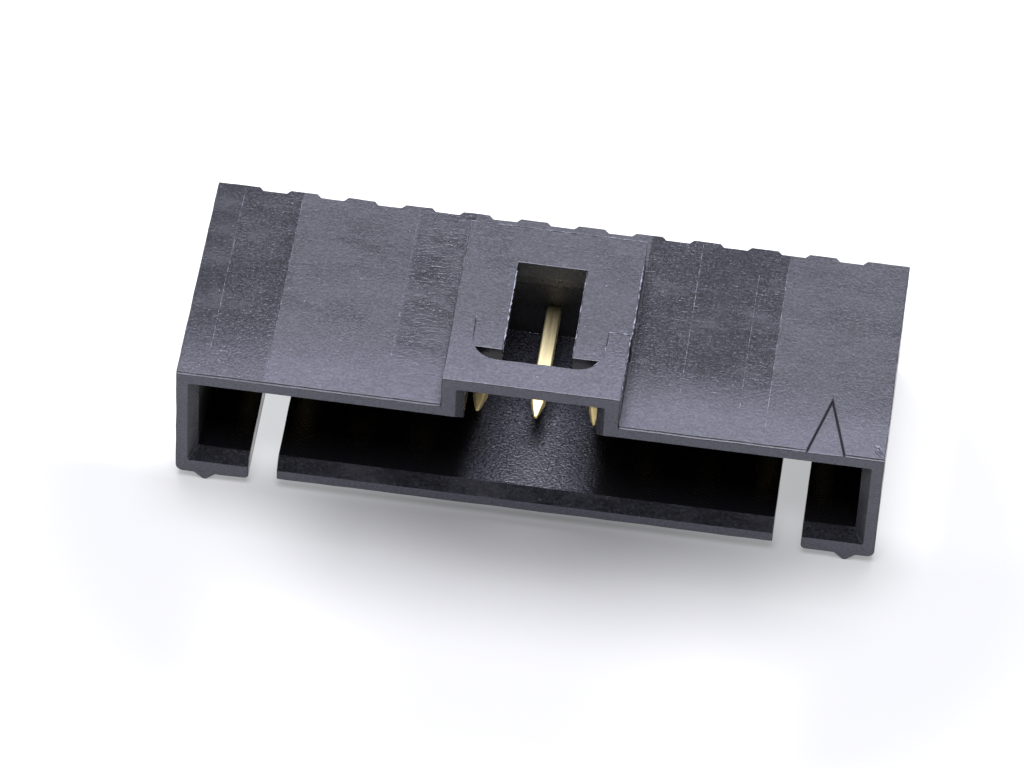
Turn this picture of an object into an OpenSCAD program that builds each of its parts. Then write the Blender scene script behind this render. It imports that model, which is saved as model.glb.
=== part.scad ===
// Shrouded single-row pin header: one moulded housing with a latch hood, and a row of square posts.
// The part lies with its latch side up. X runs along the row of posts, Y from the mouth to the board,
// Z up. The origin is in the board plane, at the middle of the row of posts.

/* [Row] */
// Number of posts in the row
pin_count = 11; // [7:2:21]
// Distance from post to post
pitch = 2.54; // [2.4:0.01:3.2]
// Distance from the last post to the end of the housing
end_margin = 2.54; // [2.1:0.01:3.2]

/* [Housing] */
// Depth of the housing, from the mouth to the board
body_d = 11.43; // [9.5:0.01:14]
// Height of the housing, from its base to the top wall
body_h = 6.3; // [5.2:0.01:8]
// Height of the row of posts above the base
row_h = 2.8; // [2.3:0.01:3.4]
// Thickness of the floor that carries the posts
floor_t = 1.98; // [1.5:0.01:3]
// Thickness of the end walls
end_wall = 0.93; // [0.7:0.01:1.2]
// Thickness of the bottom wall
bottom_wall = 1.25; // [1:0.01:1.5]
// Thickness of the top wall
top_wall = 0.97; // [0.8:0.01:1.3]
// Width of the lead-in bevel on the end walls
lead_end = 0.42; // [0.2:0.01:0.6]
// Width of the lead-in bevel on the bottom wall
lead_bottom = 0.5; // [0.2:0.01:0.7]
// Width of the lead-in bevel on the top wall and in the hood
lead_top = 0.34; // [0.2:0.01:0.6]
// Radius along the lower outer edges
edge_r = 0.35; // [0.1:0.01:0.6]

/* [Latch hood] */
// Width of the hood at its strap
strap_w = 7.64; // [6.9:0.01:8.4]
// Depth of the strap at its middle
strap_d = 1.5; // [1:0.01:1.8]
// Height of the strap above the top wall
strap_h = 1.7; // [1.3:0.01:2.2]
// Depth of the two ears that flank the rounded notch
ear_d = 3.82; // [3.2:0.01:4.6]
// Width of the hood behind its ears
hood_w = 7.72; // [7:0.01:9.4]
// Thickness of the strap, down to the latch channel
strap_t = 0.95; // [0.7:0.01:1.2]
// Height by which the hood's roof lies below the strap
roof_step = 0.1; // [0.03:0.01:0.2]
// Distance from the mouth to the roof's front edge
roof_front = 2.17; // [2:0.01:2.6]
// Width of the latch channel inside the hood
channel_w = 5.7; // [4.8:0.01:6]
// Thickness of the hood's back wall, behind the channel
hood_back = 0.85; // [0.5:0.01:1.1]
// Width of the latch window
window_w = 3; // [2.2:0.01:3.6]
// Length of roof between the window and the back wall
roof_back = 1.25; // [0.5:0.01:2]
// Corner radius of the rounded notch behind the strap
notch_r = 1.2; // [0.6:0.01:1.4]

/* [Slots and ribs] */
// Width of the slots in the bottom wall
slot_w = 1.24; // [0.8:0.01:1.6]
// Distance from each slot's middle to the end of the housing
slot_from_end = 3.81; // [3.2:0.01:5]
// Length of bottom wall between a slot and the floor
slot_web = 0.85; // [0.3:0.01:3]
// Radius on the corner of the end walls' feet beside the slots
foot_r = 0.22; // [0.05:0.01:0.3]
// Height by which the bottom wall between the slots stands back from the base
relief_h = 0.22; // [0.05:0.01:0.3]
// Width of the V ribs under the ends
rib_w = 0.95; // [0.6:0.01:1.2]
// Height of the V ribs
rib_h = 0.36; // [0.2:0.01:0.5]
// Width of the flat along each rib's crest
rib_flat = 0.14; // [0.05:0.01:0.3]
// Distance from each rib's middle to the end of the housing
rib_from_end = 1.27; // [1.1:0.01:1.6]

/* [Board side] */
// Height of the stand-off bars between the posts
bar_h = 0.2; // [0.1:0.01:0.4]
// Width of each bar at the board
bar_top = 1.17; // [0.8:0.01:1.4]
// Width of each bar at its foot
bar_foot = 1.53; // [1.41:0.01:1.7]

/* [Pin 1 arrow] */
// Length of the arrow
arrow_d = 3.05; // [2:0.01:4]
// Width of the arrow at the mouth
arrow_w = 1.63; // [1:0.01:2]
// Depth of the arrow and of the lip along the mouth
arrow_depth = 0.08; // [0.04:0.01:0.2]
// Width of the lip along the mouth
lip_w = 0.08; // [0.05:0.01:0.3]

/* [Posts] */
// Side of the square posts
pin_s = 0.64; // [0.5:0.01:0.8]
// Clearance between a post and its hole, on each side
pin_clear = 0; // [0:0.005:0.02]
// Length of a post in front of the floor
mating_len = 6.35; // [4.5:0.01:7]
// Length of a post past the board plane
tail_len = 2.79; // [2:0.01:4]
// Length of the mating tip, with its taper and its blunt nose
tip_len = 1; // [0.6:0.01:1.4]
// Length of the nose
nose_len = 0.2; // [0.1:0.01:0.4]
// Side of the nose where the taper ends
nose_s = 0.27; // [0.2:0.01:0.36]
// Side of the flat at the end of the nose
nose_flat = 0.14; // [0.08:0.01:0.18]
// Length of the taper at the tail
tail_taper = 0.45; // [0.2:0.01:0.8]
// Side of the flat at the tail
tail_flat = 0.36; // [0.2:0.01:0.45]

/* [Hidden] */
function pin_name(i) = str("pin_", i < 10 ? "0" : "", i);
$fn = 48;

housing_colour = "#3b3c42";
pin_colour = "#d8bf72";

// Reach of the cutting shapes past the faces they open
over = 1;
body_w = (pin_count - 1) * pitch + 2 * end_margin;
// Y of the mouth and of the floor's inner face
mouth_y = -body_d;
floor_y = -floor_t;
// Z of the base, the top wall, the strap and the roof
base_z = -row_h;
top_z = base_z + body_h;
strap_z = top_z + strap_h;
roof_z = strap_z - roof_step;
// The cavity for the mating plug, and the channel over it for the plug's latch
cavity_w = body_w - 2 * end_wall;
cavity_z0 = base_z + bottom_wall;
cavity_z1 = top_z - top_wall;
channel_z1 = strap_z - strap_t;
channel_y = floor_y - hood_back;
window_y = channel_y - roof_back;
slot_x = body_w / 2 - slot_from_end;
slot_y = floor_y - slot_web;
rib_x = body_w / 2 - rib_from_end;

// X of post i, counted from the arrow's end
function pin_x(i) = ((pin_count + 1) / 2 - i) * pitch;

// Outline of a pocket from outside the mouth to y1: points (y, across), with a bevel on each wall
function flared(low, high, y1, bevel_low, bevel_high) = [
    [mouth_y - over, low - bevel_low - over],
    [mouth_y + bevel_low, low],
    [y1, low],
    [y1, high],
    [mouth_y + bevel_high, high],
    [mouth_y - over, high + bevel_high + over],
];

// A box from its lowest to its highest corner
module span(low, high) {
    translate(low)
        cube(high - low);
}

// An XZ outline, drawn along Y
module along_y(y0, y1) {
    translate([0, y1, 0])
        rotate([90, 0, 0])
            linear_extrude(y1 - y0)
                children();
}

// What a radius takes off a square corner at the origin
module corner_waste(r) {
    difference() {
        translate([-r, -r])
            square(2 * r);
        translate([r, r])
            circle(r);
    }
}

// A rectangular pocket in the mouth whose four walls are bevelled at the rim
module pocket(w, z0, z1, y1, bevel_side, bevel_low, bevel_high) {
    intersection() {
        translate([0, 0, z0 - body_h])
            linear_extrude(z1 - z0 + 2 * body_h)
                polygon([for (p = flared(-w / 2, w / 2, y1, bevel_side, bevel_side)) [p[1], p[0]]]);
        rotate([90, 0, 90])
            linear_extrude(2 * w, center = true)
                polygon(flared(z0, z1, y1, bevel_low, bevel_high));
    }
}

// The outer block with its V ribs, the hood's strap and ears, and the lower, wider roof behind them
module outer_form() {
    along_y(mouth_y, 0)
        difference() {
            translate([-body_w / 2, base_z])
                square([body_w, body_h]);
            for (side = [0, 1])
                mirror([side, 0])
                    translate([-body_w / 2, base_z])
                        corner_waste(edge_r);
        }
    for (side = [-1, 1])
        along_y(mouth_y, 0)
            translate([side * rib_x, base_z])
                polygon([
                    [-rib_w / 2, 0],
                    [-rib_flat / 2, -rib_h],
                    [rib_flat / 2, -rib_h],
                    [rib_w / 2, 0],
                ]);
    span([-strap_w / 2, mouth_y, top_z], [strap_w / 2, mouth_y + ear_d, strap_z]);
    span([-hood_w / 2, mouth_y + ear_d, top_z], [hood_w / 2, floor_y, roof_z]);
}

// Outline of the rounded notch behind the strap, back to y1
module notch_outline(y1) {
    intersection() {
        translate([-channel_w / 2, mouth_y + strap_d])
            square([channel_w, y1 - mouth_y - strap_d]);
        difference() {
            translate([-channel_w, mouth_y])
                square([2 * channel_w, body_d]);
            for (side = [0, 1])
                mirror([side, 0])
                    translate([-channel_w / 2, mouth_y + strap_d])
                        corner_waste(notch_r);
        }
    }
}

// The notch between the ears, the way through behind the strap, and the latch window
module hood_openings() {
    translate([0, 0, roof_z])
        linear_extrude(over)
            notch_outline(mouth_y + ear_d);
    translate([0, 0, channel_z1 - over])
        linear_extrude(strap_t + 2 * over)
            notch_outline(mouth_y + roof_front);
    span([-window_w / 2, mouth_y + strap_d, channel_z1 - over], [window_w / 2, window_y, strap_z + over]);
}

// The cavity and the latch channel
module plug_space() {
    pocket(cavity_w, cavity_z0, cavity_z1, floor_y, lead_end, lead_bottom, lead_top);
    pocket(channel_w, 0, channel_z1, channel_y, lead_top, 0, lead_top);
}

// The slots in the bottom wall, the round feet beside them, and the stand-back of the wall between them
module bottom_cuts() {
    for (side = [-1, 1])
        span([side * slot_x - slot_w / 2, mouth_y - over, base_z - over],
             [side * slot_x + slot_w / 2, slot_y, cavity_z0 + over]);
    for (side = [0, 1])
        mirror([side, 0, 0])
            along_y(mouth_y - over, slot_y)
                translate([slot_x + slot_w / 2, base_z])
                    corner_waste(foot_r);
    span([-slot_x, mouth_y - over, base_z - over], [slot_x, slot_y, base_z + relief_h]);
}

// The flux notches across the board side, one at each post
module board_notches() {
    for (i = [1:pin_count])
        translate([pin_x(i), 0, base_z - over])
            linear_extrude(body_h + 2 * over)
                polygon([
                    [-(pitch - bar_foot) / 2, -bar_h],
                    [(pitch - bar_foot) / 2, -bar_h],
                    [(pitch - bar_top) / 2, 0],
                    [-(pitch - bar_top) / 2, 0],
                ]);
}

// The arrow at post 1, and the lip along the mouth that it joins
module mouth_marks() {
    translate([0, 0, top_z - arrow_depth])
        linear_extrude(arrow_depth + over) {
            translate([pin_x(1), mouth_y])
                polygon([[-arrow_w / 2, 0], [arrow_w / 2, 0], [0, arrow_d]]);
            for (side = [-1, 1])
                translate([side * (strap_w + body_w) / 4, mouth_y])
                    square([(body_w - strap_w) / 2, 2 * lip_w], center = true);
        }
}

// The square holes that hold the posts
module pin_holes() {
    hole_s = pin_s + 2 * pin_clear;
    for (i = [1:pin_count])
        span([pin_x(i) - hole_s / 2, floor_y - over, -hole_s / 2],
             [pin_x(i) + hole_s / 2, over, hole_s / 2]);
}

module housing() {
    color(housing_colour)
        difference() {
            outer_form();
            plug_space();
            hood_openings();
            bottom_cuts();
            board_notches();
            mouth_marks();
            pin_holes();
        }
}

// The outline of a post along Y, the same from above and from the side
module pin_outline() {
    tip_y = floor_y - mating_len;
    polygon([
        [-nose_flat / 2, tip_y],
        [nose_flat / 2, tip_y],
        [nose_s / 2, tip_y + nose_len],
        [pin_s / 2, tip_y + tip_len],
        [pin_s / 2, tail_len - tail_taper],
        [tail_flat / 2, tail_len],
        [-tail_flat / 2, tail_len],
        [-pin_s / 2, tail_len - tail_taper],
        [-pin_s / 2, tip_y + tip_len],
        [-nose_s / 2, tip_y + nose_len],
    ]);
}

module pin(i) {
    color(pin_colour)
        translate([pin_x(i), 0, 0])
            intersection() {
                linear_extrude(pin_s, center = true)
                    pin_outline();
                rotate([0, 90, 0])
                    linear_extrude(pin_s, center = true)
                        pin_outline();
            }
}

housing();
for (i = [1:pin_count])
    pin(i);
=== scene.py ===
"""Studio scene for a shrouded pin header: a moulded black housing and eleven gold posts on a pale table.

Lengths are written in millimetres, and MM turns them to Blender's metres.
"""

import math

import bmesh
import bpy
from mathutils import Matrix, Vector, noise


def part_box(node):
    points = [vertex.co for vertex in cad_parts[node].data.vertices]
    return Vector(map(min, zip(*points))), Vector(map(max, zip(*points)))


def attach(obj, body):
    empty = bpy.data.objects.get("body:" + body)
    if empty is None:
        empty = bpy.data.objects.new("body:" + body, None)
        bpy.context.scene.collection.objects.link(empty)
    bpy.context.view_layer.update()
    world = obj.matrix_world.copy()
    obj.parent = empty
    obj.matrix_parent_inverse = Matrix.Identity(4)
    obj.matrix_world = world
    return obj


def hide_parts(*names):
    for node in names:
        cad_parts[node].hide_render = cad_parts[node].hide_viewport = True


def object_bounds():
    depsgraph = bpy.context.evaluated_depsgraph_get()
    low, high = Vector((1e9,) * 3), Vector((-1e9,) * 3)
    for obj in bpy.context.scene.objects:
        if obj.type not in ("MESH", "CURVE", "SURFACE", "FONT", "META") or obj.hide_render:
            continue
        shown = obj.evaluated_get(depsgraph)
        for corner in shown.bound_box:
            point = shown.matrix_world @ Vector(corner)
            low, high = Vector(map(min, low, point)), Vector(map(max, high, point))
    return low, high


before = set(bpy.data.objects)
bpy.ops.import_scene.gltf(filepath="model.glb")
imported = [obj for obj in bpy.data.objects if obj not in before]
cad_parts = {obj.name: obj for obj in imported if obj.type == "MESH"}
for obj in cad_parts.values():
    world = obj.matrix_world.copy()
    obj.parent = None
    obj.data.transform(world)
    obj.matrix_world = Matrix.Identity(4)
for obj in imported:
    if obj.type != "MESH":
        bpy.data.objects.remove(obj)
cad_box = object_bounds()
scene = bpy.context.scene

MM = 0.001

# The frame's own sizes, in millimetres
housing_low, housing_high = (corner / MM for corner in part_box("housing"))
HALF_LENGTH = housing_high.x
MOUTH_Y = housing_low.y
STRAP_Z = housing_high.z
POST_NAMES = sorted(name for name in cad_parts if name.startswith("pin_"))

# Length of a post's taper, and sizes of the moulding that its finishes follow
TIP_LENGTH = 1.0
STRAP_RISE = 1.7
ROOF_DROP = 0.1
RIB_DROP = 0.36
END_WALL = 0.93
BOTTOM_WALL = 1.25
TOP_WALL = 0.97
FLOOR_Y = -1.98
LEAD_IN = 0.5
HOOD_HALF = 3.86
STRAP_HALF = 3.82
CHANNEL_HALF = 2.85
CHANNEL_Z = 4.25
CHANNEL_BACK_Y = -2.83
WINDOW_HALF = 1.5
WINDOW_BACK_Y = -4.08
EAR_Y = MOUTH_Y + 3.82
ROOF_FRONT_Y = MOUTH_Y + 2.17
ARROW_X = 12.7
ARROW_HALF = 0.815
ARROW_LENGTH = 3.05
ARROW_DEPTH = 0.08
# Width of the strips of painted shade along the arrow's sides
ARROW_SHADE = 0.055
ARROW_MARGIN = 1
TOP_Z = STRAP_Z - STRAP_RISE
ROOF_Z = STRAP_Z - ROOF_DROP
CAVITY_Z = housing_low.z + RIB_DROP + BOTTOM_WALL
# A point this close to a face counts as on it
NEAR = 0.01


def srgb(hex_colour):
    """The linear colour of an sRGB hex value."""
    channels = [int(hex_colour[i:i + 2], 16) / 255 for i in (1, 3, 5)]
    return [c / 12.92 if c <= 0.04045 else ((c + 0.055) / 1.055) ** 2.4 for c in channels] + [1.0]


# Of a Mix node, inputs 2 and 3 are the numbers, 6 and 7 the colours, and output 2 is the mixed colour
def node(tree, kind, inputs=None, **settings):
    """Adds a node to a tree with its settings, and gives its inputs values or links from other nodes."""
    made = tree.nodes.new(kind)
    for name, value in settings.items():
        setattr(made, name, value)
    for key, value in (inputs or {}).items():
        if isinstance(value, bpy.types.Node):
            value = value.outputs[0]
        if isinstance(value, bpy.types.NodeSocket):
            tree.links.new(value, made.inputs[key])
        else:
            made.inputs[key].default_value = value
    return made


# Camera: where it stands, the point on the part that it looks at, and its turn about that line
CAMERA_PLACE = Vector((16.777, -207.72, 222.945)) * MM
CAMERA_AIM = Vector((-1.258, -6.557, 0)) * MM
CAMERA_ROLL = math.radians(3.312)
LENS = 243.5
SENSOR = 36


def place_camera():
    """Puts the camera where the photo was taken from."""
    lens = bpy.data.cameras.new("camera")
    lens.lens = LENS
    lens.sensor_width = SENSOR
    camera = bpy.data.objects.new("camera", lens)
    camera.location = CAMERA_PLACE
    look = (CAMERA_AIM - CAMERA_PLACE).to_track_quat("-Z", "Y").to_matrix()
    camera.rotation_euler = (look @ Matrix.Rotation(CAMERA_ROLL, 3, "Z")).to_euler()
    scene.collection.objects.link(camera)
    scene.camera = camera


# Table: its painted shadow tones close before the part, further before it and beside it, and its own
# tone far off
TABLE_SIZE = 4000 * MM
SHADOW_TONE_CLOSE = "#62625e"
SHADOW_TONE_BEFORE = "#9c9c95"
SHADOW_TONE_BESIDE = "#868680"
TONE_FAR = "#aeaea6"
# The middle, half length and depth of the close painted shadow, where the painted shade beside the
# part begins, and where the far tone begins and is full
SHADOW_X = 1
SHADOW_HALF = 8
SHADOW_DEPTH = 8.5
BESIDE_START = 8
FAR_START = 12
FAR_FULL = 34
# The table's painted glow, which stands in for light under and round the part: at the part's left and
# right end, before its middle and its ends, and what is added close beside the part and further away
GLOW_LEFT = 0.7
GLOW_RIGHT = 0.44
GLOW_FRONT = 0.09
GLOW_ENDS = 0.31
GLOW_ASIDE = 0.15
GLOW_AWAY = -0.09
# Where that painted glow changes: half of the dark middle, the step under the mouth, and the step and
# fade at the part's ends
DARK_HALF = 2
MOUTH_STEP = (-0.5, 2.2)
END_STEP = 0.6
END_FADE = 3.5
# Light: a softbox overhead, and a white tent that turns dark towards the camera's side
SOFTBOX_PLACE = Vector((-12, -16, 400)) * MM
SOFTBOX_WIDTH = 210 * MM
SOFTBOX_DEPTH = 380 * MM
SOFTBOX_POWER = 4.95
TENT_BACK = 1.0
TENT_FRONT = 0.12
TENT_TURN = (-0.35, 0.25)
LIGHT_COLOUR = "#eeeeff"


def new_material(name):
    """An empty node material, its tree and its output node."""
    material = bpy.data.materials.new(name)
    material.use_nodes = True
    tree = material.node_tree
    tree.nodes.clear()
    return material, tree, node(tree, "ShaderNodeOutputMaterial")


def painted_light_table():
    """Matt, pale sheet with a painted glow under and beside the part, and a painted shadow before it."""
    material, tree, output = new_material("painted_light_table")
    place = node(tree, "ShaderNodeTexCoord").outputs["Object"]
    along = node(tree, "ShaderNodeSeparateXYZ", {0: place}).outputs
    aside = node(tree, "ShaderNodeMath", {0: along["X"]}, operation="ABSOLUTE")
    level = node(tree, "ShaderNodeMapRange", {
        "Value": along["X"], "From Min": -HALF_LENGTH * MM, "From Max": HALF_LENGTH * MM,
        "To Min": GLOW_LEFT, "To Max": GLOW_RIGHT})
    fading = node(tree, "ShaderNodeMapRange", {
        "Value": aside, "From Min": HALF_LENGTH * MM, "From Max": (HALF_LENGTH + END_FADE) * MM,
        "To Min": GLOW_ASIDE, "To Max": GLOW_AWAY}, interpolation_type="SMOOTHSTEP")
    clear_of_part = node(tree, "ShaderNodeMapRange", {
        "Value": aside, "From Min": (HALF_LENGTH - END_STEP) * MM, "From Max": HALF_LENGTH * MM,
        "To Min": 0.0, "To Max": fading})
    level = node(tree, "ShaderNodeMath", {0: level, 1: clear_of_part}, operation="ADD")
    ends = node(tree, "ShaderNodeMapRange", {
        "Value": aside, "From Min": DARK_HALF * MM, "From Max": HALF_LENGTH * MM,
        "To Min": GLOW_FRONT, "To Max": GLOW_ENDS}, interpolation_type="SMOOTHSTEP")
    painted_glow = node(tree, "ShaderNodeMapRange", {
        "Value": along["Y"], "From Min": (MOUTH_Y + MOUTH_STEP[0]) * MM,
        "From Max": (MOUTH_Y + MOUTH_STEP[1]) * MM, "To Min": ends, "To Max": level},
        interpolation_type="SMOOTHSTEP")
    beside = node(tree, "ShaderNodeMath", {0: along["X"], 1: SHADOW_X * MM}, operation="SUBTRACT")
    beside = node(tree, "ShaderNodeMath", {0: beside}, operation="ABSOLUTE")
    beside = node(tree, "ShaderNodeMath", {0: beside, 1: SHADOW_HALF * MM}, operation="SUBTRACT")
    beside = node(tree, "ShaderNodeMath", {0: beside, 1: 0.0}, operation="MAXIMUM")
    before = node(tree, "ShaderNodeMath", {0: along["Y"], 1: -MOUTH_Y * MM}, operation="ADD")
    away = node(tree, "ShaderNodeCombineXYZ", {0: beside, 1: before})
    away = node(tree, "ShaderNodeVectorMath", {0: away}, operation="LENGTH").outputs["Value"]
    clear = node(tree, "ShaderNodeMapRange", {
        "Value": away, "From Min": 0.0, "From Max": SHADOW_DEPTH * MM}, interpolation_type="SMOOTHSTEP")
    side = node(tree, "ShaderNodeMapRange", {
        "Value": aside, "From Min": BESIDE_START * MM, "From Max": HALF_LENGTH * MM},
        interpolation_type="SMOOTHSTEP")
    # Painted shadow: the table is greyer close before and beside the part than far off
    tone = node(tree, "ShaderNodeMix", {
        0: side, 6: srgb(SHADOW_TONE_BEFORE), 7: srgb(SHADOW_TONE_BESIDE)}, data_type="RGBA")
    tone = node(tree, "ShaderNodeMix", {
        0: clear, 6: srgb(SHADOW_TONE_CLOSE), 7: tone.outputs[2]}, data_type="RGBA")
    far = node(tree, "ShaderNodeMapRange", {
        "Value": away, "From Min": FAR_START * MM, "From Max": FAR_FULL * MM})
    tone = node(tree, "ShaderNodeMix", {0: far, 6: tone.outputs[2], 7: srgb(TONE_FAR)}, data_type="RGBA")
    # The emission is a painted glow, not a lamp
    shader = node(tree, "ShaderNodeBsdfPrincipled", {
        "Base Color": tone.outputs[2], "Roughness": 0.8, "Specular IOR Level": 0.2,
        "Emission Color": srgb("#fbfcff"), "Emission Strength": painted_glow})
    tree.links.new(shader.outputs[0], output.inputs[0])
    return material


def set_stage():
    """Puts up the table, the softbox and the tent."""
    half = TABLE_SIZE / 2
    height = cad_box[0].z
    mesh = bpy.data.meshes.new("table")
    mesh.from_pydata([(-half, -half, height), (half, -half, height), (half, half, height),
                      (-half, half, height)], [], [(0, 1, 2, 3)])
    mesh.materials.append(painted_light_table())
    table = bpy.data.objects.new("table", mesh)
    scene.collection.objects.link(table)

    light = bpy.data.lights.new("softbox", "AREA")
    light.shape = "RECTANGLE"
    light.size = SOFTBOX_WIDTH
    light.size_y = SOFTBOX_DEPTH
    light.energy = SOFTBOX_POWER
    light.color = srgb(LIGHT_COLOUR)[:3]
    softbox = bpy.data.objects.new("softbox", light)
    softbox.location = SOFTBOX_PLACE
    scene.collection.objects.link(softbox)

    world = bpy.data.worlds.new("tent")
    world.use_nodes = True
    tree = world.node_tree
    tree.nodes.clear()
    direction = node(tree, "ShaderNodeTexCoord").outputs["Generated"]
    backwards = node(tree, "ShaderNodeSeparateXYZ", {0: direction}).outputs["Y"]
    strength = node(tree, "ShaderNodeMapRange", {
        "Value": backwards, "From Min": TENT_TURN[0], "From Max": TENT_TURN[1],
        "To Min": TENT_FRONT, "To Max": TENT_BACK}, interpolation_type="SMOOTHSTEP")
    tent = node(tree, "ShaderNodeBackground", {"Color": srgb(LIGHT_COLOUR), "Strength": strength})
    backdrop = node(tree, "ShaderNodeBackground", {"Color": srgb("#ffffff"), "Strength": 1.0})
    seen = node(tree, "ShaderNodeLightPath").outputs["Is Camera Ray"]
    mixed = node(tree, "ShaderNodeMixShader", {0: seen, 1: tent, 2: backdrop})
    node(tree, "ShaderNodeOutputWorld", {"Surface": mixed})
    scene.world = world
    scene.view_settings.view_transform = "Standard"


# The moulding tool's blocks along the top: the left edge of each, and how matt, pitted and streaky it is
TOOL_BLOCKS = ((-HALF_LENGTH, 0.15, 0.7, 0.2), (-14.0, 0.0, 0.8, 0.2), (-11.43, 0.55, 0.85, 0.3),
               (-6.3, 0.25, 1.0, 0.5), (-HOOD_HALF, 0.68, 0.85, 0.3), (HOOD_HALF, 0.0, 0.9, 0.3),
               (6.2, 0.05, 0.8, 0.3), (8.8, 0.0, 0.9, 0.4), (10.0, 0.5, 0.85, 0.3))
# Sizes of the streaks, pits and blotches that erosion leaves on the moulded skin, along X, Y and Z.
# Streaks and pits, here and on the core, are drawn coarser than they are, so that they show
STREAK = (0.45, 0.14, 0.14)
PIT = (0.12, 0.11, 0.11)
BLOTCH = (3.0, 1.6, 1.6)
SKIN_RELIEF = 0.028
# The skin's roughness where it is glossy and where it is matt, how far blotches shift it between the
# two, and the share of its relief that matt skin keeps
GLOSSY = 0.17
MATT = 0.6
BLOTCH_SHIFT = 0.32
MATT_RELIEF = 0.9
# How matt and how pitted the sides are, and how far the top's skin reaches down and the rim's back
SIDE_MATT = 0.12
SIDE_PITTED = 0.45
TOP_SKIN = 0.1
RIM_SKIN = 0.15
# Depth of the matt strip along the mouth, how ragged its end is, and its weaker share left of a joint
# of the tool
MATT_FRONT = 4.6
RAGGED_FRONT = 5.0
LEFT_SHARE = 0.5
LEFT_JOINT = (-11.6, -11.3)
# Paleness of the matt strip, of all matt skin and of the grain; painted light on the rim, a painted
# reflection of the floor before it, and the rim's speckle; and painted light on the end bevels
FRONT_PALE = 0.18
MATT_PALE = 0.08
GRAIN_PALE = 0.36
RIM_PAINTED_LIGHT = 0.67
RIM_SPECKLE = 0.25
BEVEL_PAINTED_LIGHT = 0.24
# Grain and relief of the core's skin, the roughness of its walls and floor and of the latch channel's
# insert, and the soft step round the channel's side where that insert and its painted light end
CORE_PIT = (0.11, 0.09, 0.09)
CORE_RELIEF = 0.021
WALL_ROUGHNESS = 0.5
FLOOR_ROUGHNESS = 0.2
INSERT_ROUGHNESS = 0.22
INSERT_STEP = (-0.6, 0.4)
# Sizes of the patches in the painted crease shade, of scuffs on worn edges and of tears in flash
SHADE_PATCH = 0.3
SCUFF_PATCH = 0.5
TEAR_PATCH = 0.35
# The die lines on the posts, along X, Y and Z, drawn coarser than they are so that they show, their
# relief and the roughness between them, and the length over which the plating thins behind the tip
DIE_LINE = (0.12, 4.0, 0.12)
DIE_RELIEF = 0.01
GOLD_ROUGHNESS = (0.5, 0.66)
TIP_FADE = 0.4


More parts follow.
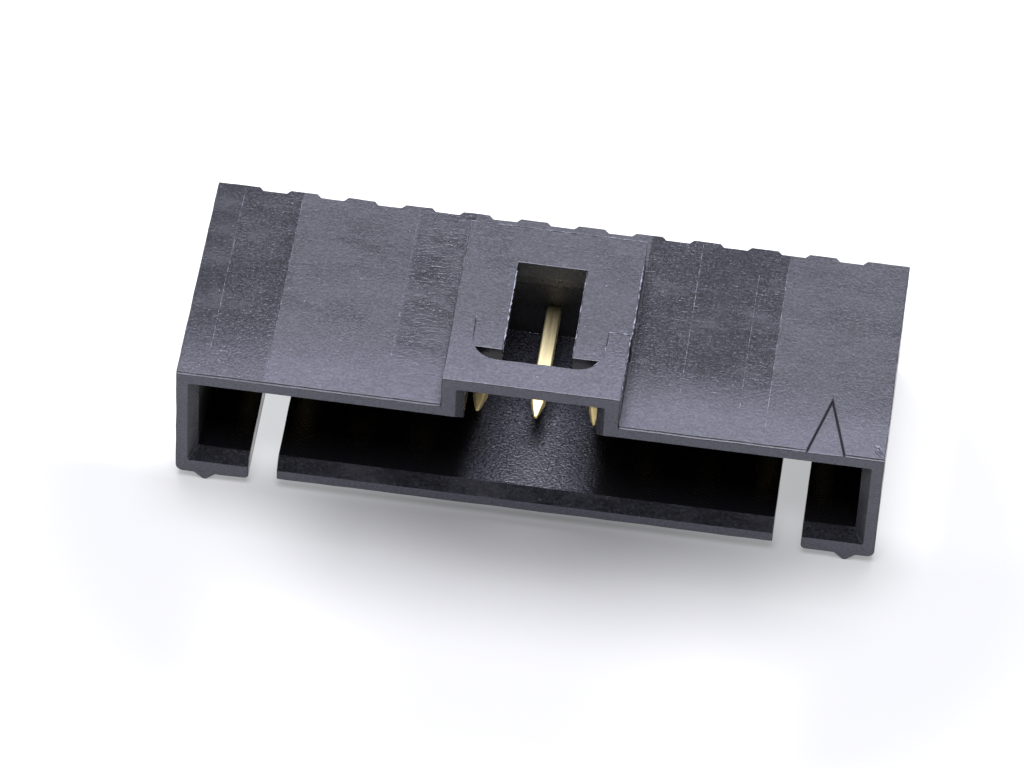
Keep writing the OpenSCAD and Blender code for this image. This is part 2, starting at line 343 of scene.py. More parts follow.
def black_nylon():
    """Glass-filled nylon as moulded on the outside: black, matt where the tool was ground, and glossy,
    pitted and streaky where its blocks were spark eroded. The mouth's rim is painted grey, a painted
    reflection of the floor before it, and speckled; the bevels at the ends are painted paler, a painted
    reflection of the light they face."""
    material, tree, output = new_material("black_glass_filled_nylon")
    place = node(tree, "ShaderNodeTexCoord").outputs["Object"]
    along = node(tree, "ShaderNodeSeparateXYZ", {0: place}).outputs
    normal = node(tree, "ShaderNodeNewGeometry").outputs["Normal"]
    facing = node(tree, "ShaderNodeSeparateXYZ", {0: normal}).outputs
    patterns = []
    for size, warp, detail in ((STREAK, 1.2, 2.0), (PIT, 0.3, 2.0), (BLOTCH, 0.0, 5.0)):
        cell = [s * MM for s in size]
        scaled = node(tree, "ShaderNodeVectorMath", {0: place, 1: cell}, operation="DIVIDE")
        patterns.append(node(tree, "ShaderNodeTexNoise", {
            "Vector": scaled, "Scale": 1.0, "Detail": detail, "Roughness": 0.6, "Distortion": warp}))
    streak, pit, blotch = patterns

    share = node(tree, "ShaderNodeMapRange", {
        "Value": along["X"], "From Min": -HALF_LENGTH * MM, "From Max": HALF_LENGTH * MM})
    blocks = node(tree, "ShaderNodeValToRGB", {"Fac": share})
    ramp = blocks.color_ramp
    ramp.interpolation = "CONSTANT"
    for i, (start, *levels) in enumerate(TOOL_BLOCKS):
        position = (start + HALF_LENGTH) / (2 * HALF_LENGTH)
        stop = ramp.elements[0] if i == 0 else ramp.elements.new(position)
        stop.color = (*levels, 1)
    ramp.elements.remove(ramp.elements[-1])
    matt, pitted, streaky = node(tree, "ShaderNodeSeparateColor", {0: blocks}).outputs

    above = node(tree, "ShaderNodeMath", {
        0: along["Z"], 1: (TOP_Z - TOP_SKIN) * MM}, operation="GREATER_THAN")
    upward = node(tree, "ShaderNodeMath", {0: facing["Z"], 1: 0.8}, operation="GREATER_THAN")
    top = node(tree, "ShaderNodeMath", {0: above, 1: upward}, operation="MULTIPLY")
    outermost = node(tree, "ShaderNodeMath", {
        0: along["Y"], 1: (MOUTH_Y + RIM_SKIN) * MM}, operation="LESS_THAN")
    forward = node(tree, "ShaderNodeMath", {0: facing["Y"], 1: -0.85}, operation="LESS_THAN")
    rim = node(tree, "ShaderNodeMath", {0: outermost, 1: forward}, operation="MULTIPLY")
    sideways = node(tree, "ShaderNodeMath", {0: facing["X"]}, operation="ABSOLUTE")
    # Painted light: bevels that face sideways and forward are paler, a painted reflection of the light
    # they face
    bevel = node(tree, "ShaderNodeMath", {0: sideways, 1: facing["Y"]}, operation="SUBTRACT")
    bevel = node(tree, "ShaderNodeMapRange", {
        "Value": bevel, "From Min": 1.2, "From Max": 1.35, "To Min": 0.0, "To Max": BEVEL_PAINTED_LIGHT})
    ragged = node(tree, "ShaderNodeMath", {0: blotch, 1: RAGGED_FRONT * MM, 2: along["Y"]},
                  operation="MULTIPLY_ADD")
    front = node(tree, "ShaderNodeMapRange", {
        "Value": ragged, "From Min": (MOUTH_Y + 0.5 * RAGGED_FRONT) * MM,
        "From Max": (MOUTH_Y + 0.5 * RAGGED_FRONT + MATT_FRONT) * MM,
        "To Min": 1.0, "To Max": 0.0}, interpolation_type="SMOOTHSTEP")
    front = node(tree, "ShaderNodeMath", {0: front, 1: top}, operation="MULTIPLY")
    full = node(tree, "ShaderNodeMapRange", {
        "Value": along["X"], "From Min": LEFT_JOINT[0] * MM, "From Max": LEFT_JOINT[1] * MM,
        "To Min": LEFT_SHARE, "To Max": 1.0})
    front = node(tree, "ShaderNodeMath", {0: front, 1: full}, operation="MULTIPLY")

    matt = node(tree, "ShaderNodeMath", {0: matt, 1: front}, operation="MAXIMUM")
    side = node(tree, "ShaderNodeMath", {0: rim, 1: SIDE_MATT}, operation="MAXIMUM")
    matt = node(tree, "ShaderNodeMix", {0: top, 2: side, 3: matt})
    uneven = node(tree, "ShaderNodeMapRange", {
        "Value": blotch, "From Min": 0.3, "From Max": 0.7,
        "To Min": -BLOTCH_SHIFT, "To Max": BLOTCH_SHIFT})
    matt = node(tree, "ShaderNodeMath", {0: matt, 1: uneven}, operation="ADD", use_clamp=True)
    dull = node(tree, "ShaderNodeMapRange", {"Value": matt, "To Min": GLOSSY, "To Max": MATT})
    pitted = node(tree, "ShaderNodeMix", {0: front, 2: pitted, 3: 1.0})
    pitted = node(tree, "ShaderNodeMix", {0: top, 2: SIDE_PITTED, 3: pitted})

    grain = node(tree, "ShaderNodeMix", {0: streaky, 2: pit, 3: streak})
    worn_down = node(tree, "ShaderNodeMapRange", {"Value": matt, "To Min": 1.0, "To Max": MATT_RELIEF})
    relief = node(tree, "ShaderNodeMath", {0: pitted, 1: worn_down}, operation="MULTIPLY")
    bump = node(tree, "ShaderNodeBump", {
        "Height": grain, "Strength": relief, "Distance": SKIN_RELIEF * MM})
    grain_pale = node(tree, "ShaderNodeMath", {0: pitted, 1: GRAIN_PALE}, operation="MULTIPLY")
    grain_pale = node(tree, "ShaderNodeMapRange", {
        "Value": grain, "From Min": 0.4, "From Max": 0.72, "To Min": 0.0, "To Max": grain_pale})
    fleck = node(tree, "ShaderNodeMapRange", {
        "Value": grain, "From Min": 0.62, "From Max": 0.9, "To Min": 0.0, "To Max": pitted},
        interpolation_type="SMOOTHSTEP")
    front_pale = node(tree, "ShaderNodeMath", {0: front, 1: FRONT_PALE}, operation="MULTIPLY")
    pale = node(tree, "ShaderNodeMath", {0: fleck, 1: front_pale}, operation="ADD")
    pale = node(tree, "ShaderNodeMath", {0: pale, 1: grain_pale}, operation="ADD")
    matt_top = node(tree, "ShaderNodeMath", {0: matt, 1: top}, operation="MULTIPLY")
    pale = node(tree, "ShaderNodeMath", {0: matt_top, 1: MATT_PALE, 2: pale}, operation="MULTIPLY_ADD")
    # Painted light: the rim is paler, a painted reflection of the floor before it, with a random speckle
    rim_painted_light = node(tree, "ShaderNodeMapRange", {
        "Value": pit, "From Min": 0.3, "From Max": 0.7, "To Min": RIM_PAINTED_LIGHT - RIM_SPECKLE,
        "To Max": RIM_PAINTED_LIGHT + RIM_SPECKLE})
    rim_painted_light = node(tree, "ShaderNodeMath", {0: rim, 1: rim_painted_light}, operation="MULTIPLY")
    pale = node(tree, "ShaderNodeMath", {0: pale, 1: rim_painted_light}, operation="MAXIMUM")
    pale = node(tree, "ShaderNodeMath", {0: pale, 1: bevel}, operation="MAXIMUM", use_clamp=True)
    tone = node(tree, "ShaderNodeMix", {
        0: pale, 6: srgb("#09090b"), 7: srgb("#5c5d66")}, data_type="RGBA")
    shader = node(tree, "ShaderNodeBsdfPrincipled", {
        "Base Color": tone.outputs[2], "Roughness": dull, "IOR": 1.53, "Normal": bump})
    tree.links.new(shader.outputs[0], output.inputs[0])
    return material


def core_nylon():
    """The same nylon where the tool's core shaped it: black, with a fine even grain, matt on the drawn
    sides and glossy on the floor, which is painted greyer under the latch channel: painted light that
    stands in for the light falling through the window."""
    material, tree, output = new_material("cored_black_nylon")
    place = node(tree, "ShaderNodeTexCoord").outputs["Object"]
    cell = [s * MM for s in CORE_PIT]
    scaled = node(tree, "ShaderNodeVectorMath", {0: place, 1: cell}, operation="DIVIDE")
    pit = node(tree, "ShaderNodeTexNoise", {"Vector": scaled, "Scale": 1.0, "Detail": 2.0})
    bump = node(tree, "ShaderNodeBump", {"Height": pit, "Strength": 1.0, "Distance": CORE_RELIEF * MM})
    normal = node(tree, "ShaderNodeNewGeometry").outputs["Normal"]
    upward = node(tree, "ShaderNodeSeparateXYZ", {0: normal}).outputs["Z"]
    sideways = node(tree, "ShaderNodeSeparateXYZ", {0: place}).outputs["X"]
    sideways = node(tree, "ShaderNodeMath", {0: sideways}, operation="ABSOLUTE")
    insert_and_painted_light = node(tree, "ShaderNodeMapRange", {
        "Value": sideways, "From Min": (CHANNEL_HALF + INSERT_STEP[0]) * MM,
        "From Max": (CHANNEL_HALF + INSERT_STEP[1]) * MM, "To Min": 1.0, "To Max": 0.0},
        interpolation_type="SMOOTHSTEP")
    floor = node(tree, "ShaderNodeMapRange", {"Value": upward, "From Min": 0.5, "From Max": 0.9})
    insert_and_painted_light = node(tree, "ShaderNodeMath", {0: insert_and_painted_light, 1: floor}, operation="MULTIPLY")
    dull = node(tree, "ShaderNodeMapRange", {
        "Value": floor, "To Min": WALL_ROUGHNESS, "To Max": FLOOR_ROUGHNESS})
    dull = node(tree, "ShaderNodeMix", {0: insert_and_painted_light, 2: dull, 3: INSERT_ROUGHNESS})
    painted_light_grain = node(tree, "ShaderNodeMapRange", {
        "Value": pit, "From Min": 0.3, "From Max": 0.7, "To Min": 0.0, "To Max": insert_and_painted_light})
    # Painted light: the floor under the latch channel is greyer where light through the window falls
    tone = node(tree, "ShaderNodeMix", {
        0: painted_light_grain, 6: srgb("#0a0a0b"), 7: srgb("#404147")}, data_type="RGBA")
    shader = node(tree, "ShaderNodeBsdfPrincipled", {
        "Base Color": tone.outputs[2], "Roughness": dull, "IOR": 1.53, "Specular IOR Level": 0.65,
        "Normal": bump})
    tree.links.new(shader.outputs[0], output.inputs[0])
    return material


def painted_crease_shade():
    """Painted shade in the creases at the sides of the sunk arrow: dull and almost black."""
    material, tree, output = new_material("painted_crease_shade")
    place = node(tree, "ShaderNodeTexCoord").outputs["Object"]
    scaled = node(tree, "ShaderNodeVectorMath", {0: place, 1: [SHADE_PATCH * MM] * 3}, operation="DIVIDE")
    shade_patches = node(tree, "ShaderNodeTexNoise", {"Vector": scaled, "Scale": 1.0, "Detail": 3.0})
    tone = node(tree, "ShaderNodeMix", {
        0: shade_patches, 6: srgb("#050506"), 7: srgb("#141417")}, data_type="RGBA")
    shader = node(tree, "ShaderNodeBsdfPrincipled", {
        "Base Color": tone.outputs[2], "Roughness": 0.7, "IOR": 1.35})
    tree.links.new(shader.outputs[0], output.inputs[0])
    return material


def worn_nylon():
    """The nylon's rounded edges, scuffed by handling: paler in places."""
    material, tree, output = new_material("scuffed_nylon_edge")
    place = node(tree, "ShaderNodeTexCoord").outputs["Object"]
    scaled = node(tree, "ShaderNodeVectorMath", {0: place, 1: [SCUFF_PATCH * MM] * 3}, operation="DIVIDE")
    patches = node(tree, "ShaderNodeTexNoise", {"Vector": scaled, "Scale": 1.0, "Detail": 3.0})
    scuffed = node(tree, "ShaderNodeMapRange", {
        "Value": patches, "From Min": 0.5, "From Max": 0.68}, interpolation_type="SMOOTHSTEP")
    dull = node(tree, "ShaderNodeMapRange", {"Value": scuffed, "To Min": 0.35, "To Max": 0.55})
    tone = node(tree, "ShaderNodeMix", {
        0: scuffed, 6: srgb("#131315"), 7: srgb("#4a4b51")}, data_type="RGBA")
    shader = node(tree, "ShaderNodeBsdfPrincipled", {
        "Base Color": tone.outputs[2], "Roughness": dull, "IOR": 1.53})
    tree.links.new(shader.outputs[0], output.inputs[0])
    return material


def whitened_nylon_and_highlights():
    """Thin flash and crumbs of the nylon, torn and stress whitened: from dark to light grey. On the burrs
    along edges the pale grey is also a painted highlight of those edges.
    """
    material, tree, output = new_material("stress_whitened_nylon_and_highlights")
    place = node(tree, "ShaderNodeTexCoord").outputs["Object"]
    scaled = node(tree, "ShaderNodeVectorMath", {0: place, 1: [TEAR_PATCH * MM] * 3}, operation="DIVIDE")
    patches = node(tree, "ShaderNodeTexNoise", {"Vector": scaled, "Scale": 1.0, "Detail": 3.0})
    torn = node(tree, "ShaderNodeMapRange", {
        "Value": patches, "From Min": 0.4, "From Max": 0.7}, interpolation_type="SMOOTHSTEP")
    tone = node(tree, "ShaderNodeMix", {
        0: torn, 6: srgb("#34353a"), 7: srgb("#85868d")}, data_type="RGBA")
    shader = node(tree, "ShaderNodeBsdfPrincipled", {
        "Base Color": tone.outputs[2], "Roughness": 0.6, "IOR": 1.53})
    tree.links.new(shader.outputs[0], output.inputs[0])
    return material


def gold_plate():
    """Gold flash over nickel on drawn wire: pale and satin, with fine die lines along the wire, and
    thicker and yellower at the mating tips."""
    material, tree, output = new_material("gold_plated_wire")
    place = node(tree, "ShaderNodeTexCoord").outputs["Object"]
    cell = [s * MM for s in DIE_LINE]
    scaled = node(tree, "ShaderNodeVectorMath", {0: place, 1: cell}, operation="DIVIDE")
    lines = node(tree, "ShaderNodeTexNoise", {"Vector": scaled, "Scale": 1.0, "Detail": 3.0})
    bump = node(tree, "ShaderNodeBump", {"Height": lines, "Strength": 0.5, "Distance": DIE_RELIEF * MM})
    tone = node(tree, "ShaderNodeMix", {
        0: lines, 6: srgb("#e8d99f"), 7: srgb("#f7ecc2")}, data_type="RGBA")
    tip_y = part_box(POST_NAMES[0])[0].y / MM + TIP_LENGTH
    thick = node(tree, "ShaderNodeMapRange", {
        "Value": node(tree, "ShaderNodeSeparateXYZ", {0: place}).outputs["Y"],
        "From Min": tip_y * MM, "From Max": (tip_y + TIP_FADE) * MM, "To Min": 1.0, "To Max": 0.0})
    tone = node(tree, "ShaderNodeMix", {
        0: thick, 6: tone.outputs[2], 7: srgb("#f7e3a0")}, data_type="RGBA")
    dull = node(tree, "ShaderNodeMapRange", {
        "Value": lines, "From Min": 0.3, "From Max": 0.7,
        "To Min": GOLD_ROUGHNESS[0], "To Max": GOLD_ROUGHNESS[1]})
    shader = node(tree, "ShaderNodeBsdfPrincipled", {
        "Base Color": tone.outputs[2], "Metallic": 1.0, "Roughness": dull, "Normal": bump})
    tree.links.new(shader.outputs[0], output.inputs[0])
    return material


# Rounding of the edges: the largest radius, its share of a narrow face, the least turn that is rounded,
# and the steps of the round
HOUSING_EDGE = 0.04
POST_EDGE = 0.045
TIP_EDGE = 0.14
FACE_SHARE = 0.3
EDGE_TURN = math.radians(50)
EDGE_STEPS = 2
# Points closer than this are one, and triangles that turn less than this from the next are one face
SAME_POINT = 0.001
SAME_FACE = math.radians(0.5)
# Flat faces, and faces of rounded edges, that turn less than this from the next share its shading
FLAT_TURN = math.radians(30)
SMOOTH_TURN = math.radians(50)
# The worn edges waver: the distance between cuts across the faces, a waver's length, reach and seed
CUT_STEP = 0.4
WAVER_LENGTH = 0.9
WAVER = 0.018
WAVER_SEED = 3


def rounded_copy(name, source, radius, materials, tip_radius=0, tip_y=0):
    """A copy of a CAD node's mesh with rounded edges, which take the last of the materials. Edges before
    tip_y have the tip's radius."""
    widest = max(radius, tip_radius)
    bm = bmesh.new()
    bm.from_mesh(source.data)
    bmesh.ops.remove_doubles(bm, verts=bm.verts, dist=SAME_POINT * MM)
    bmesh.ops.dissolve_limit(bm, angle_limit=SAME_FACE, verts=bm.verts, edges=bm.edges)
    weight = bm.edges.layers.float.new("bevel_weight_edge")
    for edge in bm.edges:
        if edge.calc_face_angle() > EDGE_TURN:
            narrowest = min(face.calc_area() for face in edge.link_faces) / edge.calc_length()
            at_tip = tip_radius and max(vert.co.y for vert in edge.verts) < (tip_y + NEAR) * MM
            wanted = (tip_radius if at_tip else radius) * MM
            edge[weight] = min(wanted, FACE_SHARE * narrowest) / (widest * MM)
    mesh = bpy.data.meshes.new(name)
    bm.to_mesh(mesh)
    bm.free()
    for material in materials:
        mesh.materials.append(material)
    piece = bpy.data.objects.new(name, mesh)
    scene.collection.objects.link(piece)
    bevel = piece.modifiers.new("rounding", "BEVEL")
    bevel.limit_method = "WEIGHT"
    bevel.width = widest * MM
    bevel.segments = EDGE_STEPS
    bevel.use_clamp_overlap = False
    bevel.material = len(materials) - 1
    apply_modifiers(piece)
    return piece


def apply_modifiers(piece):
    """Gives a piece the mesh that its modifiers make, and takes them off."""
    graph = bpy.context.evaluated_depsgraph_get()
    piece.data = bpy.data.meshes.new_from_object(piece.evaluated_get(graph))
    piece.data.name = piece.name
    piece.modifiers.clear()


def cut_in_cells(bm):
    """Cuts all faces along a grid, so that each is small and the edges have points to waver at, and the
    top along the strips of painted shade at the arrow's sides."""
    low, high = (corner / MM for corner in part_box("housing"))
    for axis in range(3):
        normal = [float(axis == i) for i in range(3)]
        for k in range(math.ceil(low[axis] / CUT_STEP), math.ceil(high[axis] / CUT_STEP)):
            bmesh.ops.bisect_plane(bm, geom=bm.verts[:] + bm.edges[:] + bm.faces[:], dist=SAME_POINT * MM,
                                   plane_co=[c * k * CUT_STEP * MM for c in normal], plane_no=normal)
    for side, offset in ((-1, -ARROW_SHADE), (-1, ARROW_SHADE), (1, -ARROW_SHADE), (1, ARROW_SHADE)):
        across = Vector((side * ARROW_LENGTH, ARROW_HALF, 0)).normalized()
        foot = Vector((ARROW_X + side * ARROW_HALF, MOUTH_Y, TOP_Z))
        faces = [face for face in bm.faces
                 if (face.calc_center_median() / MM - foot).length < ARROW_LENGTH + ARROW_MARGIN]
        edges = dict.fromkeys(edge for face in faces for edge in face.edges)
        verts = dict.fromkeys(vert for face in faces for vert in face.verts)
        bmesh.ops.bisect_plane(bm, geom=[*verts, *edges, *faces], dist=SAME_POINT * MM,
                               plane_co=(foot + across * offset) * MM, plane_no=across)


def shading(bm, edge_material):
    """A normal for each corner: flat faces stay flat, and rounded edges run from one into the next."""
    normals = []
    weighted = {face: face.normal * face.calc_area() for face in bm.faces}
    for face in bm.faces:
        face.smooth = True
        limit = math.cos(SMOOTH_TURN if face.material_index == edge_material else FLAT_TURN)
        for corner in face.loops:
            around = corner.vert.link_faces
            flat = [other for other in around if other.material_index != edge_material] or around
            near = [weighted[other] for other in flat if other.normal.dot(face.normal) > limit]
            normals.append(sum(near, Vector()).normalized() if near else face.normal.copy())
    return normals


# Places of the housing's materials in its list
BLACK, CORED, CREASE_SHADE, WORN = range(4)


def moulding_finish(point, normal):
    """Which of the housing's materials a face has: cored in the cavity, channel and window, painted
    crease shade at the arrow's sides, else black."""
    in_cavity = abs(point.x) < HALF_LENGTH - END_WALL + NEAR and point.z < TOP_Z - TOP_WALL + NEAR
    in_channel = (abs(point.x) < CHANNEL_HALF + NEAR and point.z < CHANNEL_Z + NEAR
                  and point.y < CHANNEL_BACK_Y + NEAR)
    in_window = (abs(point.x) < WINDOW_HALF + NEAR and point.y < WINDOW_BACK_Y + NEAR
                 and abs(normal.z) < 0.5)
    deep = MOUTH_Y + LEAD_IN < point.y < FLOOR_Y + NEAR
    if deep and point.z > CAVITY_Z - NEAR and (in_cavity or in_channel or in_window):
        return CORED
    # The strips along the arrow's sides get painted crease shade
    arrow_side = ARROW_HALF * (1 - (point.y - MOUTH_Y) / ARROW_LENGTH)
    beside_arrow = abs(abs(point.x - ARROW_X) - arrow_side) < ARROW_SHADE and arrow_side > -ARROW_SHADE
    on_top = abs(point.z - TOP_Z) < 2 * ARROW_DEPTH and abs(normal.y) < 0.9
    return CREASE_SHADE if beside_arrow and on_top else BLACK


def make_housing():
    """The housing, with rounded and worn edges, a finish for each part of the tool that shaped it,
    painted light on the latch channel's floor and painted shade at the arrow's sides.
    """
    finishes = (black_nylon(), core_nylon(), painted_crease_shade(), worn_nylon())
    moulding = rounded_copy("housing_moulding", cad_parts["housing"], HOUSING_EDGE, finishes)
    bm = bmesh.new()
    bm.from_mesh(moulding.data)
    cut_in_cells(bm)
    for face in bm.faces:
        if face.material_index != WORN:
            face.material_index = moulding_finish(face.calc_center_median() / MM, face.normal)
    normals = shading(bm, WORN)
    noise.seed_set(WAVER_SEED)
    for vert in bm.verts:
        if any(face.material_index == WORN for face in vert.link_faces):
            vert.co += noise.noise_vector(vert.co / (WAVER_LENGTH * MM)) * WAVER * MM
    for face in bm.faces:
        finish = moulding_finish(face.calc_center_median() / MM, face.normal)
        if finish != BLACK:
            face.material_index = finish
    bm.to_mesh(moulding.data)
    bm.free()
    moulding.data.normals_split_custom_set(normals)
    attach(moulding, "root")
    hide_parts("housing")
    return moulding


# Place of the rounded edges' material in the posts' list, where it stands apart for the shading
ROUNDED = 1


def make_posts():
    """The posts: square wire with rounded edges, more so at the tips."""
    gold = gold_plate()
    for name in POST_NAMES:
        post = rounded_copy(name.replace("pin", "post"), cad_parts[name], POST_EDGE, (gold, gold),
                            TIP_EDGE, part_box(name)[0].y / MM + TIP_LENGTH)
        bm = bmesh.new()
        bm.from_mesh(post.data)
        normals = shading(bm, ROUNDED)
        bm.to_mesh(post.data)
        bm.free()
        post.data.normals_split_custom_set(normals)
        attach(post, "root")
        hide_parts(name)


# Witness lines of the tool's joints on the top, thin burrs along edges, thick ones where an edge tore,
# and a scuffed corner: the points that each line runs through. The burrs are pale partly as painted
# highlights of the edges they follow.
WITNESS_LINES = (
    ((-14.0, -0.2, TOP_Z), (-14.0, -11.2, TOP_Z)),
    ((-11.43, -0.2, TOP_Z), (-11.43, -11.2, TOP_Z)),
    ((-6.3, -0.2, TOP_Z), (-6.3, -9.8, TOP_Z)),
    ((6.2, -0.2, TOP_Z), (6.2, -9.0, TOP_Z)),
    ((8.8, -1.6, TOP_Z), (8.8, -9.5, TOP_Z)),
    ((10.0, -1.2, TOP_Z), (10.0, -11.0, TOP_Z)),
    ((-HOOD_HALF, -2.2, ROOF_Z), (-HOOD_HALF, -5.5, ROOF_Z)),
    ((-CHANNEL_HALF, EAR_Y, STRAP_Z), (-CHANNEL_HALF, EAR_Y - 0.8, STRAP_Z)))
EDGE_BURRS_AND_HIGHLIGHTS = (
    ((-HOOD_HALF, FLOOR_Y, ROOF_Z), (HOOD_HALF, FLOOR_Y, ROOF_Z)),
    ((WINDOW_HALF, -4.2, ROOF_Z), (WINDOW_HALF, ROOF_FRONT_Y, ROOF_Z)),
    ((STRAP_HALF, EAR_Y - 0.8, STRAP_Z), (STRAP_HALF, MOUTH_Y + 0.2, STRAP_Z)),
    ((2.85, -8.5, STRAP_Z), (2.83, -8.95, STRAP_Z), (2.69, -9.33, STRAP_Z), (2.44, -9.64, STRAP_Z)))
TORN_BURRS_AND_HIGHLIGHTS = (
    ((-WINDOW_HALF, -4.6, ROOF_Z), (-WINDOW_HALF, ROOF_FRONT_Y, ROOF_Z)),
    ((HOOD_HALF, -3.0, ROOF_Z), (HOOD_HALF, EAR_Y, ROOF_Z)),
    ((2.9, EAR_Y, STRAP_Z), (STRAP_HALF, EAR_Y, STRAP_Z), (STRAP_HALF, EAR_Y - 0.8, STRAP_Z)))
CORNER_SCUFF = (
    ((14.7, MOUTH_Y + 0.75, TOP_Z), (14.95, MOUTH_Y + 0.7, TOP_Z), (15.1, MOUTH_Y + 0.5, TOP_Z)),
    ((14.85, MOUTH_Y + 0.6, TOP_Z), (15.05, MOUTH_Y + 0.35, TOP_Z), (15.1, MOUTH_Y + 0.15, TOP_Z)),
    ((14.8, MOUTH_Y + 0.5, TOP_Z), (14.9, MOUTH_Y + 0.3, TOP_Z), (15.0, MOUTH_Y + 0.2, TOP_Z)),
    ((14.9, MOUTH_Y + 0.8, TOP_Z), (15.0, MOUTH_Y + 0.6, TOP_Z), (15.15, MOUTH_Y + 0.3, TOP_Z)))
# Each group's lines, the radius of its threads and the share of them that is kept
FLASH = (("witness_flash", WITNESS_LINES, 0.008, 0.7), ("edge_burrs_and_highlights", EDGE_BURRS_AND_HIGHLIGHTS, 0.014, 0.75),
         ("torn_burrs_and_highlights", TORN_BURRS_AND_HIGHLIGHTS, 0.026, 0.8), ("corner_scuff", CORNER_SCUFF, 0.045, 0.85))
# How far a thread of flash wanders along X, Y and Z, the lengths of its gaps, of its bends and of its
# thick and thin parts, the least and greatest share of its radius there, and the steps it is drawn in
FLASH_WANDER = (0.06, 0.06, 0.015)
FLASH_GAP = 0.9
FLASH_BEND = 0.15 * FLASH_GAP
FLASH_SWELL = 0.3 * FLASH_GAP
FLASH_GIRTH = (0.5, 1.7)
FLASH_STEP = 0.04


def geometry_sockets(tree, names):
    """Gives a geometry tree its sockets, with a number for each name, and returns their identifiers."""
    tree.interface.new_socket("Geometry", in_out="INPUT", socket_type="NodeSocketGeometry")
    made = {}
    for name in names:
        socket = tree.interface.new_socket(name, in_out="INPUT", socket_type="NodeSocketFloat")
        made[name] = socket.identifier
    tree.interface.new_socket("Geometry", in_out="OUTPUT", socket_type="NodeSocketGeometry")
    return made


def flash_tree(material):
    """Geometry nodes that turn lines into broken, wandering threads, and their inputs' identifiers."""
    tree = bpy.data.node_groups.new("flash_threads", "GeometryNodeTree")
    sockets = geometry_sockets(tree, ("Radius", "Cover"))
    given = node(tree, "NodeGroupInput").outputs
    lines = node(tree, "GeometryNodeMeshToCurve", {0: given["Geometry"]})
    fine = node(tree, "GeometryNodeResampleCurve", {
        "Curve": lines, "Length": FLASH_STEP * MM}, mode="LENGTH")
    points = node(tree, "GeometryNodeCurveToMesh", {"Curve": fine})
    place = node(tree, "GeometryNodeInputPosition")
    patterns = []
    for size in (FLASH_GAP, FLASH_BEND, FLASH_SWELL):
        scaled = node(tree, "ShaderNodeVectorMath", {0: place, 1: [size * MM] * 3}, operation="DIVIDE")
        patterns.append(node(tree, "ShaderNodeTexNoise", {"Vector": scaled, "Scale": 1.0, "Detail": 1.0}))
    gaps, bends, girths = patterns
    lost = node(tree, "ShaderNodeMath", {0: gaps, 1: given["Cover"]}, operation="GREATER_THAN")
    kept = node(tree, "GeometryNodeDeleteGeometry", {
        "Geometry": points, "Selection": lost}, domain="POINT")
    threads = node(tree, "GeometryNodeMeshToCurve", {0: kept})
    aside = node(tree, "ShaderNodeVectorMath", {
        0: bends.outputs["Color"], 1: [0.5] * 3}, operation="SUBTRACT")
    aside = node(tree, "ShaderNodeVectorMath", {
        0: aside, 1: [s * MM for s in FLASH_WANDER]}, operation="MULTIPLY")
    moved = node(tree, "GeometryNodeSetPosition", {"Geometry": threads, "Offset": aside})
    girth = node(tree, "ShaderNodeMapRange", {
        "Value": girths, "From Min": 0.35, "From Max": 0.65,
        "To Min": FLASH_GIRTH[0], "To Max": FLASH_GIRTH[1]})
    ring = node(tree, "GeometryNodeCurvePrimitiveCircle", {"Resolution": 5, "Radius": given["Radius"]})
    tubes = node(tree, "GeometryNodeCurveToMesh", {
        "Curve": moved, "Profile Curve": ring, "Scale": girth, "Fill Caps": True})
    solid = node(tree, "GeometryNodeRealizeInstances", {0: tubes})
    finished = node(tree, "GeometryNodeSetMaterial", {"Geometry": solid, "Material": material})
    node(tree, "NodeGroupOutput", {0: finished})
    return tree, sockets


def grown_piece(name, mesh, tree, values):
    """A piece that a geometry node tree grows on a mesh, as a plain mesh that rides on the housing."""
    piece = bpy.data.objects.new(name, mesh)
    scene.collection.objects.link(piece)
    modifier = piece.modifiers.new(name, "NODES")
    modifier.node_group = tree
    for identifier, value in values.items():
        modifier[identifier] = value
    apply_modifiers(piece)
    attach(piece, "root")


def make_flash(material):
    """Threads of flash along the lines of each group."""
    tree, sockets = flash_tree(material)
    for name, lines, radius, cover in FLASH:
        points = []
        edges = []
        for line in lines:
            edges += [(len(points) + i, len(points) + i + 1) for i in range(len(line) - 1)]
            points += [[c * MM for c in point] for point in line]
        mesh = bpy.data.meshes.new(name)
        mesh.from_pydata(points, edges, [])
        grown_piece(name, mesh, tree, {sockets["Radius"]: radius * MM, sockets["Cover"]: cover})


# Crumbs on the top: how many to a square millimetre, their radius, the least and greatest share of it
# along X, Y and Z, and the seeds of their places and sizes
CRUMB_DENSITY = 0.45
CRUMB_RADIUS = 0.03
CRUMB_LEAST = (0.3, 0.3, 0.2)
CRUMB_GREATEST = (1.3, 1.0, 0.5)
PLACES_SEED = 7
SIZES_SEED = 11


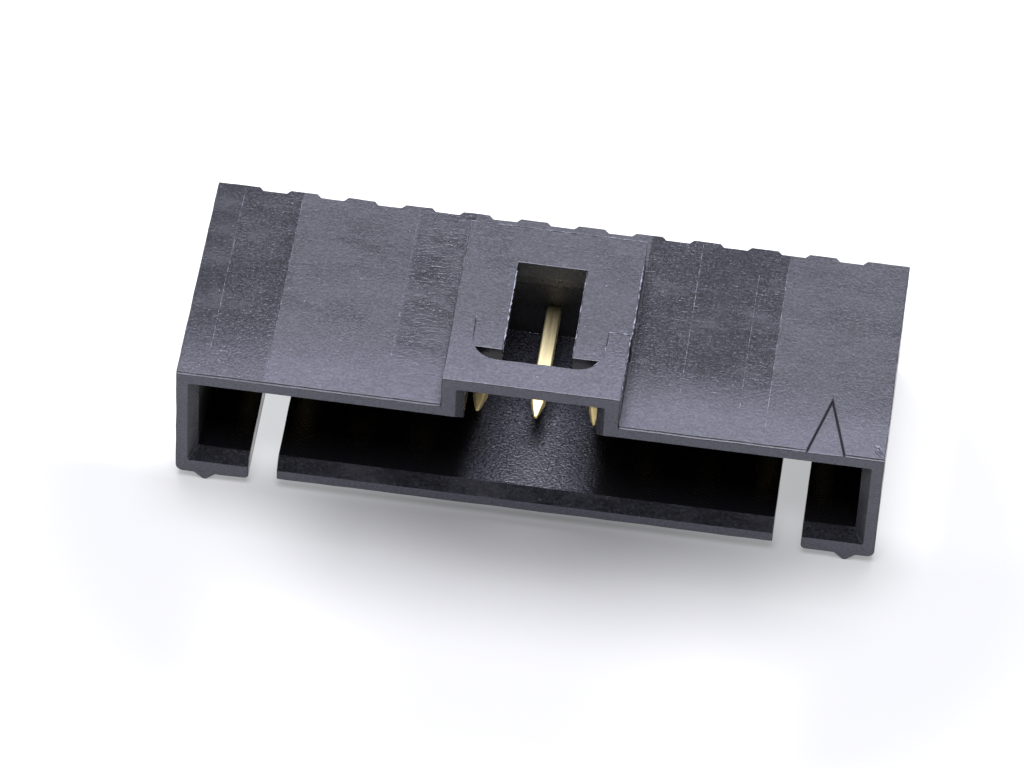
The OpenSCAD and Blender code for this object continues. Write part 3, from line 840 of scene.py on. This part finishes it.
def crumb_tree(material):
    """Geometry nodes that strew flat crumbs over the upward faces, and their inputs' identifiers."""
    tree = bpy.data.node_groups.new("crumbs", "GeometryNodeTree")
    sockets = geometry_sockets(tree, ("Density", "Radius"))
    given = node(tree, "NodeGroupInput").outputs
    normal = node(tree, "GeometryNodeInputNormal")
    normal = node(tree, "ShaderNodeSeparateXYZ", {0: normal}).outputs["Z"]
    height = node(tree, "GeometryNodeInputPosition")
    height = node(tree, "ShaderNodeSeparateXYZ", {0: height}).outputs["Z"]
    upward = node(tree, "ShaderNodeMath", {0: normal, 1: 0.99}, operation="GREATER_THAN")
    above = node(tree, "ShaderNodeMath", {
        0: height, 1: (TOP_Z - 0.5 * TOP_SKIN) * MM}, operation="GREATER_THAN")
    top = node(tree, "ShaderNodeMath", {0: upward, 1: above}, operation="MULTIPLY")
    strewn = node(tree, "GeometryNodeDistributePointsOnFaces", {
        "Mesh": given["Geometry"], "Selection": top, "Density": given["Density"], "Seed": PLACES_SEED})
    crumb = node(tree, "GeometryNodeMeshIcoSphere", {"Radius": given["Radius"], "Subdivisions": 1})
    sizes = node(tree, "FunctionNodeRandomValue", {
        0: CRUMB_LEAST, 1: CRUMB_GREATEST, "Seed": SIZES_SEED}, data_type="FLOAT_VECTOR")
    placed = node(tree, "GeometryNodeInstanceOnPoints", {
        "Points": strewn, "Instance": crumb, "Rotation": strewn.outputs["Rotation"], "Scale": sizes})
    solid = node(tree, "GeometryNodeRealizeInstances", {0: placed})
    finished = node(tree, "GeometryNodeSetMaterial", {"Geometry": solid, "Material": material})
    node(tree, "NodeGroupOutput", {0: finished})
    return tree, sockets


def make_crumbs(moulding, material):
    """Crumbs of the moulding, strewn over its top."""
    tree, sockets = crumb_tree(material)
    grown_piece("moulding_crumbs", moulding.data.copy(), tree, {
        sockets["Density"]: CRUMB_DENSITY / MM ** 2, sockets["Radius"]: CRUMB_RADIUS * MM})


place_camera()
set_stage()
housing_moulding = make_housing()
make_posts()
whitened_and_highlights = whitened_nylon_and_highlights()
make_flash(whitened_and_highlights)
make_crumbs(housing_moulding, whitened_and_highlights)
